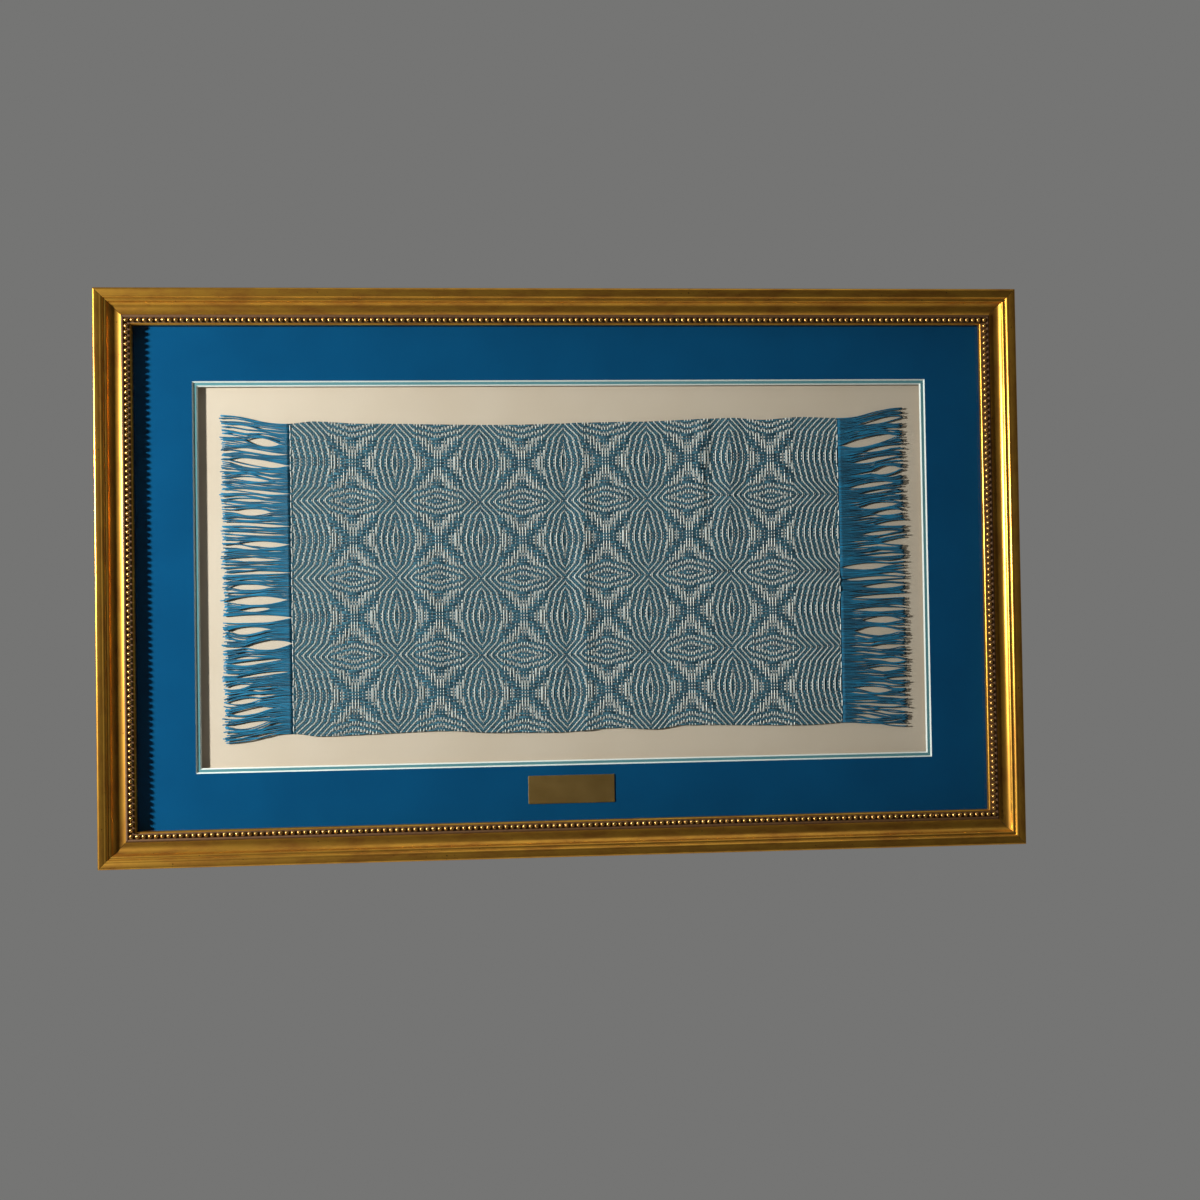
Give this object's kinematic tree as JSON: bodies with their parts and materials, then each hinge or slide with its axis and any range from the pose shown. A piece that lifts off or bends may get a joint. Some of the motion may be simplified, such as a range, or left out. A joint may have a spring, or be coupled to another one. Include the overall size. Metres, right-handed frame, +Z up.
{
  "type": "fringed woven cloth in a picture frame",
  "caption": "Wide gilded frame with a beaded inner edge, holding a fringed blue and white woven cloth under glass, with blue and teal mats and a bare brass plate.",
  "frame": {"origin": "middle of the top rail's back face, which lies on the wall", "axes": "+X along the frame's width to the right as seen from the front, +Y back into the wall, +Z up"},
  "size_m": [0.82, 0.0298, 0.504],
  "materials": {
    "gilded_wood": "worn gilding over wood",
    "gilded_beads": "worn gilding, dark between the beads",
    "picture_glass": "clear polished glass",
    "blue_mat_board": "matt blue paper face, white core at the bevel",
    "teal_mat_board": "matt light teal paper face, white core at the bevel",
    "foam_board": "matt white foam board",
    "cream_board": "matt cream mount board",
    "hardboard": "smooth brown hardboard",
    "brass_plate": "satin brass, bare",
    "woven_cotton": "blue warp and natural white weft in an undulating twill",
    "blue_cotton_yarn": "loose blue cotton warp ends"
  },
  "bodies": {
    "root": {"rail_top": "gilded_wood", "rail_bottom": "gilded_wood", "rail_left": "gilded_wood", "rail_right": "gilded_wood", "beads_top": "gilded_beads", "beads_bottom": "gilded_beads", "beads_left": "gilded_beads", "beads_right": "gilded_beads", "glass": "picture_glass", "mat_top": "blue_mat_board", "mat_under": "teal_mat_board", "spacer_top": "foam_board", "spacer_bottom": "foam_board", "spacer_left": "foam_board", "spacer_right": "foam_board", "backing": "cream_board", "back_board": "hardboard", "plate": "brass_plate", "cloth": "woven_cotton", "fringe_left": "blue_cotton_yarn", "fringe_right": "blue_cotton_yarn"}
  },
  "joints": []
}
